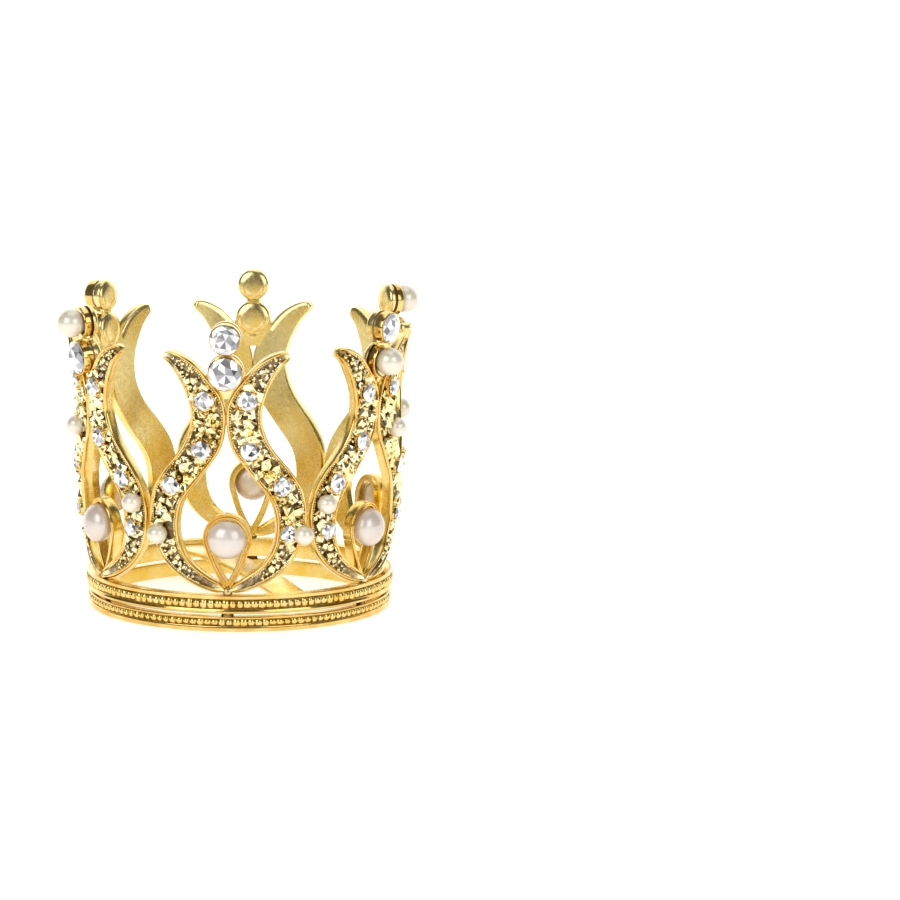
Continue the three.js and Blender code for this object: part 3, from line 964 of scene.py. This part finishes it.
class CROWN_OT_strap(bpy.types.Operator):
    """Makes the arched strap across the base"""

    bl_idname = "crown.strap"
    bl_label = "Strap"

    def execute(self, context):
        half = STRAP_WIDTH / 2
        thick = STRAP_THICKNESS
        outline = rounded([(-half, 0.0), (half, 0.0), (half, thick), (0.0, thick + 0.06), (-half, thick)],
                          0.25, 3)
        turn = Matrix.Rotation(math.radians(STRAP_TURN), 4, "Z")
        sections = []
        for i in range(61):
            y = STRAP_REACH * (2 * i / 60 - 1)
            arch = STRAP_END_HEIGHT + STRAP_RISE * (1 - (y / STRAP_REACH) ** 2)
            sections.append([turn @ Vector((x, y, z + arch)) for x, z in outline])
        builder = Builder()
        loft(builder, sections, [0] * len(outline))
        place(builder.piece("comb_strap", [material("satin")], 40), "satin_gold", "base_strap")
        return {"FINISHED"}


class CROWN_OT_ribbons(bpy.types.Operator):
    """Makes the twelve cast ribbons"""

    bl_idname = "crown.ribbons"
    bl_label = "Ribbons"

    def execute(self, context):
        for motif in range(MOTIFS):
            for side in (1, -1):
                ribbon_piece(motif, side)
        return {"FINISHED"}


class CROWN_OT_ribbon_stones(bpy.types.Operator):
    """Sets the crystals along the ribbons"""

    bl_idname = "crown.ribbon_stones"
    bl_label = "Ribbon stones"

    def execute(self, context):
        pearls = small_pearls()
        rng = random.Random(21)
        for motif in range(MOTIFS):
            crystals = Builder()
            metal = Builder()
            for side in (1, -1):
                stone_set(motif, side, pearls, crystals, metal, rng)
            stones = crystals.piece(f"ribbon_crystals_{motif + 1}", [material("crystal")])
            # Painted reflections: a random tone on each facet.
            place(paint_facet_reflections(stones, motif), "crystal")
            place(metal.piece(f"crystal_seats_{motif + 1}", [material("polished")], 50), "polished_gold")
        return {"FINISHED"}


class CROWN_OT_granules(bpy.types.Operator):
    """Scatters rough plates and small grains over the ribbons' floors"""

    bl_idname = "crown.granules"
    bl_label = "Plates and grains"

    def execute(self, context):
        pearls = small_pearls()
        rng = random.Random(33)
        grains = []
        plates = Builder()
        for motif in range(MOTIFS):
            for side in (1, -1):
                scatter(motif, side, pearls, plates, grains, rng)
        place(plates.piece("ribbon_plates", [material("patinated")]), "polished_gold")
        squash = context.scene.crown_sizes.granule_squash
        milgrain = []
        for motif in range(MOTIFS):
            for side in (1, -1):
                milgrain += milgrain_beads(motif, side, pearls)
        for name, spots, detail in (("ribbon_grains", grains, 2), ("ribbon_milgrain", milgrain, 1)):
            mesh = bpy.data.meshes.new(name)
            mesh.from_pydata([centre * MM for centre, _ in spots], [], [])
            sizes = mesh.attributes.new("size", "FLOAT", "POINT")
            sizes.data.foreach_set("value", [radius * MM for _, radius in spots])
            tree, identifiers = granule_tree()
            made = grown(name, mesh, tree, identifiers, {
                "Detail": detail, "Squash": squash, "Seed": 4, "Material": material("patinated")})
            place(made, "polished_gold")
        return {"FINISHED"}


def teardrop_line():
    """The loop's centre line on the unrolled wall, from its point round its head and back."""
    hip = Vector((LOOP_RADIUS * math.cos(LOOP_HEAD_ANGLE),
                  LOOP_CENTRE - LOOP_RADIUS * math.sin(LOOP_HEAD_ANGLE)))
    drop = hip.y - LOOP_POINT
    bend = [Vector((0.12, LOOP_POINT)), Vector((LOOP_RADIUS * 0.36, LOOP_POINT + drop * 0.2)),
            Vector((LOOP_RADIUS * 0.78, hip.y - drop * 0.24)), hip]
    leg = []
    for i in range(28):
        t = i / 28
        leg.append(bend[0] * (1 - t) ** 3 + bend[1] * 3 * t * (1 - t) ** 2 + bend[2] * 3 * t * t * (1 - t)
                   + bend[3] * t ** 3)
    sweep = math.pi + 2 * LOOP_HEAD_ANGLE
    head = []
    for i in range(65):
        angle = -LOOP_HEAD_ANGLE + sweep * i / 64
        head.append(Vector((LOOP_RADIUS * math.cos(angle), LOOP_CENTRE + LOOP_RADIUS * math.sin(angle))))
    return leg + head + [Vector((-p.x, p.y)) for p in reversed(leg)]


class CROWN_OT_pearl_loops(bpy.types.Operator):
    """Makes the six teardrop loops of doubled wire"""

    bl_idname = "crown.pearl_loops"
    bl_label = "Pearl loops"

    def execute(self, context):
        line = teardrop_line()
        section = [
            (0.36, -2.6, 2), (0.44, -2.45, 2), (0.42, -1.02, 2), (0.38, -0.76, 0), (0.28, -0.64, 0),
            (0.16, -0.66, 0), (0.1, -0.78, 2), (0.05, -0.95, 2), (-0.01, -0.95, 2), (-0.06, -0.8, 0),
            (-0.16, -0.7, 0), (-0.28, -0.7, 0), (-0.36, -0.82, 0), (-0.38, -1.1, 2), (-0.52, -2.0, 2),
            (-0.7, -2.45, 2), (-0.64, -2.6, 2), (-0.1, -2.64, 2),
        ]
        for motif in range(MOTIFS):
            sections = []
            for i, point in enumerate(line):
                ahead = line[min(i + 1, len(line) - 1)]
                behind = line[max(i - 1, 0)]
                along = (ahead - behind).normalized()
                out = Vector((along.y, -along.x))
                ring = []
                for offset, proud, _ in section:
                    flat = point + out * offset
                    degrees = math.degrees(flat.x / wall_radius(flat.y)) + motif * MOTIF_TURN
                    ring.append(on_wall(degrees, flat.y, proud))
                sections.append(ring)
            builder = Builder()
            loft(builder, sections, [number for _, _, number in section])
            made = builder.piece(f"pearl_wire_loop_{motif + 1}",
                                 [material("polished"), material("patinated"), material("satin")], 45)
            place(made, "polished_gold", f"pearl_loop_{motif + 1}")
        return {"FINISHED"}


def pearl_ball(name, centre, radius, coat="cream pearl", segments=64, flatness=1.0, turn=0.0):
    """A pearl: a fine ball, which may be flattened along a motif's axis."""
    builder = Builder()
    profile = []
    rings = segments // 2
    for i in range(rings + 1):
        angle = math.pi * i / rings
        profile.append((0 if i in (0, rings) else radius * math.sin(angle), -radius * math.cos(angle)))
    spun = Matrix.Rotation(math.radians(turn), 4, "Z") @ Matrix.Diagonal((1.0, flatness, 1.0, 1.0))
    lathe(builder, profile, segments, Matrix.Translation(centre) @ spun)
    return builder.piece(name, [material(coat)])


class CROWN_OT_pearls(bpy.types.Operator):
    """Sets the six large pearls and the small pearls on the ribbons"""

    bl_idname = "crown.pearls"
    bl_label = "Pearls"

    def execute(self, context):
        for motif in range(MOTIFS):
            node = f"large_pearl_{motif + 1}"
            low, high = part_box(node)
            centre = on_wall(motif * MOTIF_TURN, (low.z + high.z) / 2 / MM, BUTTON_PROUD)
            made = pearl_ball(f"big_pearl_{motif + 1}", centre, (high.z - low.z) / 2 / MM, "rose pearl",
                              flatness=BUTTON_FLATNESS, turn=motif * MOTIF_TURN)
            place(made, "pearl", node)
        glue = Builder()
        for node, centre, radius in small_pearls():
            place(pearl_ball(node.replace("small_pearl", "little_pearl"), centre, radius, segments=40),
                  "pearl", node)
            at = math.degrees(math.atan2(centre.x, -centre.y))
            seat = wall_frame(at, centre.z, 0.0)
            lathe(glue, [(0, -0.7), (1.1, -0.65), (1.35, -0.2), (1.3, 0.15), (0.9, 0.2), (0, 0.1)], 20, seat)
        place(glue.piece("pearl_seats", [material("patinated")]), "polished_gold")
        return {"FINISHED"}


def gusset(builder, azimuth, number):
    """The web under the collar cup that joins it to both ribbons."""
    rows = []
    for height, half in GUSSET:
        ring = [(-half, -0.9), (-half * 0.5, -0.8), (half * 0.5, -0.8), (half, -0.9), (half, -1.85),
                (-half, -1.85)]
        rows.append([on_wall(azimuth + math.degrees(x / wall_radius(height)), height, proud) for x,
                     proud in ring])
    loft(builder, rows, [number] * 6)


class CROWN_OT_finials(bpy.types.Operator):
    """Makes the six finials: two stone cups, a neck between them and a short tail"""

    bl_idname = "crown.finials"
    bl_label = "Finials"

    def execute(self, context):
        for motif in range(MOTIFS):
            at = motif * MOTIF_TURN
            builder = Builder()
            for label, (height, radius) in (("top", TOP_CUP), ("collar", COLLAR_CUP)):
                is_pearl = slot_of(f"{label}_stone_{motif + 1}") == "pearl"
                lip = 0.3 if is_pearl else 1.1
                back = -CUP_BACK
                groove = (back + lip) / 2 - 0.15
                profile = [
                    (0, back + 0.02), (radius * 0.5, back), (radius * 0.85, back + 0.12),
                    (radius * 0.97, back + 0.4),
                    (radius, back + 0.7), (radius * 0.99, groove - 0.12), (radius * 0.88, groove),
                    (radius * 0.88, groove + 0.28), (radius * 0.98, groove + 0.4), (radius, lip - 0.3),
                    (radius * 0.985, lip - 0.08), (radius * 0.95, lip), (radius * 0.9, lip - 0.04),
                    (radius * 0.87, lip - 0.2), (radius * 0.6, lip - 0.9), (0, lip - 1.3),
                ]
                numbers = [0] * 5 + [1] * 3 + [2] * 4 + [1] * 3
                lathe(builder, profile, 56, wall_frame(at, height), numbers)
            neck = wall_frame(at, 46.15, -0.7)
            lathe(builder, [(0, -1.0), (1.0, -0.9), (1.25, -0.4), (1.2, 0.5), (0.9, 0.95), (0, 1.05)], 20,
                  neck, 0)
            tail = wall_frame(at, 40.25, -1.2)
            lathe(builder, [(0, -0.9), (0.55, -0.8), (0.7, 0.0), (0.6, 0.8), (0, 0.95)], 16, tail, 0)
            gusset(builder, at, 0)
            made = builder.piece(f"finial_casting_{motif + 1}",
                                 [material("satin"), material("patinated"), material("polished")], 40)
            place(made, "satin_gold", f"finial_{motif + 1}")
        return {"FINISHED"}


def slot_of(node):
    """The record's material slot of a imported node."""
    for row in frame["record"]["subparts"]:
        if row["node"] == node:
            return row["material_slot"]
    raise KeyError(node)


class CROWN_OT_cup_stones(bpy.types.Operator):
    """Sets a crystal or a pearl in each finial cup"""

    bl_idname = "crown.cup_stones"
    bl_label = "Cup stones"

    def execute(self, context):
        rng = random.Random(8)
        for motif in range(MOTIFS):
            at = motif * MOTIF_TURN
            for label, (height, cup) in (("top", TOP_CUP), ("collar", COLLAR_CUP)):
                node = f"{label}_stone_{motif + 1}"
                name = f"{label}_cup_stone_{motif + 1}"
                if slot_of(node) == "pearl":
                    place(pearl_ball(name, packed_centre(node), packed_radius(node)), "pearl", node)
                    continue
                builder = Builder()
                brilliant(builder, cup * 0.93, wall_frame(at, height, 1.12), rng.uniform(0, math.pi / 4))
                stone = builder.piece(name, [material("crystal")])
                # Painted reflections: a random tone on each facet.
                place(paint_facet_reflections(stone, motif), "crystal", node)
        return {"FINISHED"}


class CROWN_OT_stage(bpy.types.Operator):
    """Makes the floor, the soft lights and the camera"""

    bl_idname = "crown.stage"
    bl_label = "Stage"

    def execute(self, context):
        light = context.scene.crown_light
        context.scene.view_settings.view_transform = "Standard"
        context.scene.view_settings.look = "Medium High Contrast"
        make_floor(light.floor_colour)
        make_world(light.world_strength)
        softbox("Key softbox", (-1.2, -1.8, 1.2), 1.7, light.key_power)
        softbox("Fill softbox", (1.5, -1.6, 0.9), 1.4, light.fill_power)
        softbox("Top softbox", (0.1, 0.3, 2.2), 1.8, light.top_power)
        make_camera()
        return {"FINISHED"}


def make_floor(colour):
    """A wide floor that curves up behind the crown."""
    builder = Builder()
    profile = [(-900, 0.0), (500, 0.0)]
    for i in range(1, 13):
        angle = math.pi / 2 * i / 12
        profile.append((500 + 300 * math.sin(angle), 300 - 300 * math.cos(angle)))
    profile.append((800, 1400))
    points = [(x, y, z) for y, z in profile for x in (-1500, 1500)]
    faces = [[2 * i, 2 * i + 1, 2 * i + 3, 2 * i + 2] for i in range(len(profile) - 1)]
    builder.add(points, faces)
    floor = builder.piece("floor", [painted_floor("Matt paint, pale", "#F4F4F4")], outward=False)
    floor.data.materials[0].node_tree.nodes["Principled BSDF"].inputs["Base Color"].default_value = (*colour, 1)


def make_world(strength):
    """An even white surround."""
    world = bpy.data.worlds.new("Soft surround")
    world.use_nodes = True
    background = world.node_tree.nodes["Background"]
    background.inputs["Color"].default_value = (1, 1, 1, 1)
    background.inputs["Strength"].default_value = strength
    bpy.context.scene.world = world


def softbox(name, place_at, size, power):
    """A square soft light aimed at the crown."""
    data = bpy.data.lights.new(name, "AREA")
    data.shape = "SQUARE"
    data.size = size
    data.energy = power
    made = bpy.data.objects.new(name, data)
    made.location = place_at
    aim = Vector((0, 0, 0.026)) - Vector(place_at)
    made.rotation_euler = aim.to_track_quat("-Z", "Y").to_euler()
    bpy.context.scene.collection.objects.link(made)
    return made


def make_camera():
    """A long lens, looking slightly down, with the crown left of the middle and low in the frame."""
    data = bpy.data.cameras.new("Camera")
    data.lens = CAMERA_LENS
    data.sensor_width = CAMERA_SENSOR
    data.clip_start = 0.05
    data.clip_end = 20
    camera = bpy.data.objects.new("Camera", data)
    level = math.cos(CAMERA_ELEVATION)
    camera.location = Vector((math.sin(CAMERA_AZIMUTH) * level, -math.cos(CAMERA_AZIMUTH) * level,
                              math.sin(CAMERA_ELEVATION))) * CAMERA_DISTANCE * MM
    look = (-camera.location).to_track_quat("-Z", "Y").to_matrix().to_4x4()
    turn = Matrix.Rotation(-AIM_RIGHT, 4, "Y") @ Matrix.Rotation(AIM_UP, 4, "X")
    camera.rotation_euler = (look @ turn).to_euler()
    bpy.context.scene.collection.objects.link(camera)
    bpy.context.scene.camera = camera


class CROWN_PT_panel(bpy.types.Panel):
    """Lists the crown's pieces and settings"""

    bl_idname = "CROWN_PT_panel"
    bl_label = "Bridal mini crown"
    bl_space_type = "VIEW_3D"
    bl_region_type = "UI"
    bl_category = "Crown"

    def draw(self, context):
        layout = self.layout
        for group in (context.scene.crown_sizes, context.scene.crown_light):
            for name in group.__annotations__:
                layout.prop(group, name)
        for operator in OPERATORS:
            layout.operator(operator.bl_idname)


OPERATORS = [
    CROWN_OT_bands, CROWN_OT_beads, CROWN_OT_strap, CROWN_OT_ribbons, CROWN_OT_ribbon_stones, CROWN_OT_granules,
    CROWN_OT_pearl_loops, CROWN_OT_pearls, CROWN_OT_finials, CROWN_OT_cup_stones, CROWN_OT_stage,
]
CLASSES = [CrownSizes, CrownLight, *OPERATORS, CROWN_PT_panel]


def register():
    """Makes the add-on's classes and settings known to Blender."""
    for cls in CLASSES:
        bpy.utils.register_class(cls)
    bpy.types.Scene.crown_sizes = bpy.props.PointerProperty(type=CrownSizes)
    bpy.types.Scene.crown_light = bpy.props.PointerProperty(type=CrownLight)


def unregister():
    """Takes them away again."""
    del bpy.types.Scene.crown_light
    del bpy.types.Scene.crown_sizes
    for cls in reversed(CLASSES):
        bpy.utils.unregister_class(cls)


def main():
    """Makes every piece in order."""
    register()
    bpy.ops.crown.bands()
    bpy.ops.crown.beads()
    bpy.ops.crown.strap()
    bpy.ops.crown.ribbons()
    bpy.ops.crown.ribbon_stones()
    bpy.ops.crown.granules()
    bpy.ops.crown.pearl_loops()
    bpy.ops.crown.pearls()
    bpy.ops.crown.finials()
    bpy.ops.crown.cup_stones()
    bpy.ops.crown.stage()


if __name__ == "__main__":
    main()
